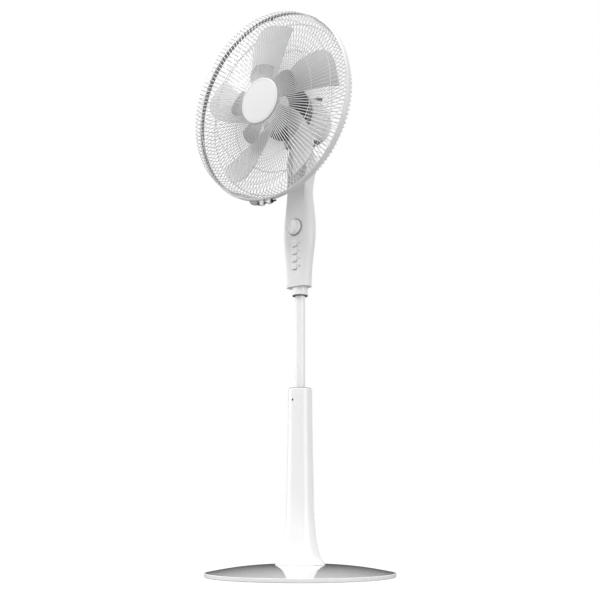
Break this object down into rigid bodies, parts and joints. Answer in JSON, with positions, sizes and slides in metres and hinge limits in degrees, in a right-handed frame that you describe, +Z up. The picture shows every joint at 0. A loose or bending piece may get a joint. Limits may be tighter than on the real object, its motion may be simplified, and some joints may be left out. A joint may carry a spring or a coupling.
{
  "type": "pedestal fan",
  "caption": "Floor-standing fan: round base, telescopic column, control housing with timer knob and keys, tilting and oscillating head with a round wire guard.",
  "frame": {"origin": "centre of the round base at floor level, under the feet", "axes": "+Z up along the stand, the fan blows towards -Y, +X to the left of someone the fan blows at"},
  "size_m": [0.434, 0.4, 1.23],
  "materials": {
    "white_gloss": "smooth glossy",
    "base_gloss": "polished",
    "housing_plastic": "satin",
    "control_plastic": "satin",
    "blade_plastic": "satin",
    "dark_plastic": "fine grain",
    "rubber": "matte",
    "ballast": "rough cast",
    "steel": "bright",
    "black_steel": "black oxide",
    "clip_plastic": "fine grain",
    "bracket_steel": "satin",
    "tube_paint": "satin",
    "wire_paint": "satin",
    "lamination": "stacked sheet",
    "copper": "varnished",
    "die_cast": "as cast",
    "bronze": "sintered"
  },
  "bodies": {
    "base": {"base_pan": "white_gloss", "base_cover": "base_gloss", "base_weight": "ballast", "base_feet": "rubber", "base_screws": "steel", "outer_tube": "steel", "column_shell": "white_gloss", "column_bush": "dark_plastic", "height_screw": "black_steel"},
    "stem": {"inner_tube": "tube_paint", "tube_slider": "dark_plastic", "neck_ring": "dark_plastic", "neck_collar": "white_gloss", "housing_front": "housing_plastic", "housing_rear": "housing_plastic", "housing_screws": "steel", "cord_gland": "dark_plastic", "timer_bezel": "control_plastic", "timer_body": "dark_plastic", "switch_block": "dark_plastic", "neck_fork": "bracket_steel", "tilt_pin": "steel"},
    "timer_dial": {"timer_knob": "control_plastic"},
    "key_off": {"button_off": "control_plastic"},
    "key_low": {"button_low": "control_plastic"},
    "key_middle": {"button_middle": "control_plastic"},
    "key_high": {"button_high": "control_plastic"},
    "tilt": {"tilt_bracket": "bracket_steel", "swivel_post": "steel"},
    "link": {"swing_link": "steel"},
    "head": {"motor_bracket": "bracket_steel", "swivel_bush": "bronze", "motor_front_shield": "die_cast", "motor_rear_shield": "die_cast", "motor_bearings": "steel", "motor_screws": "steel", "motor_stator": "lamination", "motor_windings": "copper", "motor_front_cover": "dark_plastic", "motor_rear_cover": "housing_plastic", "gearbox_case": "dark_plastic", "rear_grille_wires": "wire_paint", "rear_grille_rims": "wire_paint", "grille_nut": "dark_plastic", "guard_ring": "white_gloss", "ring_gasket": "rubber", "ring_screw": "black_steel", "guard_clips": "clip_plastic", "front_grille_wires": "wire_paint", "front_grille_rims": "wire_paint", "badge": "white_gloss"},
    "rotor": {"motor_shaft": "steel", "drive_pin": "steel", "motor_rotor": "die_cast", "impeller": "blade_plastic", "inner_impeller": "blade_plastic", "spinner": "blade_plastic"},
    "crank": {"oscillation_crank": "bronze"},
    "clutch": {"clutch_knob": "dark_plastic"}
  },
  "joints": [
    {"name": "height_slide", "type": "slide", "parent": "base", "child": "stem", "axis": [0, 0, 1], "range_m": [-0.188, 0.06]},
    {"name": "timer_turn", "type": "hinge", "parent": "stem", "child": "timer_dial", "pos_m": [0, -0.018, 0.753], "axis": [0, 1, 0], "range_deg": [0, 300]},
    {"name": "off_press", "type": "slide", "parent": "stem", "child": "key_off", "axis": [0, 1, 0], "range_m": [0, 0.003], "stiffness_N_per_m": 1500},
    {"name": "low_press", "type": "slide", "parent": "stem", "child": "key_low", "axis": [0, 1, 0], "range_m": [0, 0.003], "stiffness_N_per_m": 1500},
    {"name": "middle_press", "type": "slide", "parent": "stem", "child": "key_middle", "axis": [0, 1, 0], "range_m": [0, 0.003], "stiffness_N_per_m": 1500},
    {"name": "high_press", "type": "slide", "parent": "stem", "child": "key_high", "axis": [0, 1, 0], "range_m": [0, 0.003], "stiffness_N_per_m": 1500},
    {"name": "head_tilt", "type": "hinge", "parent": "stem", "child": "tilt", "pos_m": [0, 0.005, 0.944], "axis": [1, 0, 0], "range_deg": [-20, 10]},
    {"name": "head_swing", "type": "hinge", "parent": "tilt", "child": "head", "pos_m": [0, 0.005, 0.965], "axis": [0, 0, 1], "range_deg": [-40, 40]},
    {"name": "link_swing", "type": "hinge", "parent": "tilt", "child": "link", "pos_m": [0, 0.025, 0.977], "axis": [0, 0, 1], "range_deg": [-45, 45]},
    {"name": "blade_spin", "type": "hinge", "parent": "head", "child": "rotor", "pos_m": [0, 0, 1.013], "axis": [0, 1, 0], "continuous": true},
    {"name": "crank_turn", "type": "hinge", "parent": "head", "child": "crank", "pos_m": [0.014, 0.05, 1], "axis": [0, 0, 1], "continuous": true},
    {"name": "clutch_pull", "type": "slide", "parent": "head", "child": "clutch", "axis": [0, 0, 1], "range_m": [0, 0.008]}
  ],
  "couplings": [
    {"joint": "link_swing", "follows": "head_swing", "ratio": 1},
    {"joint": "crank_turn", "follows": "blade_spin", "ratio": 0.05}
  ]
}
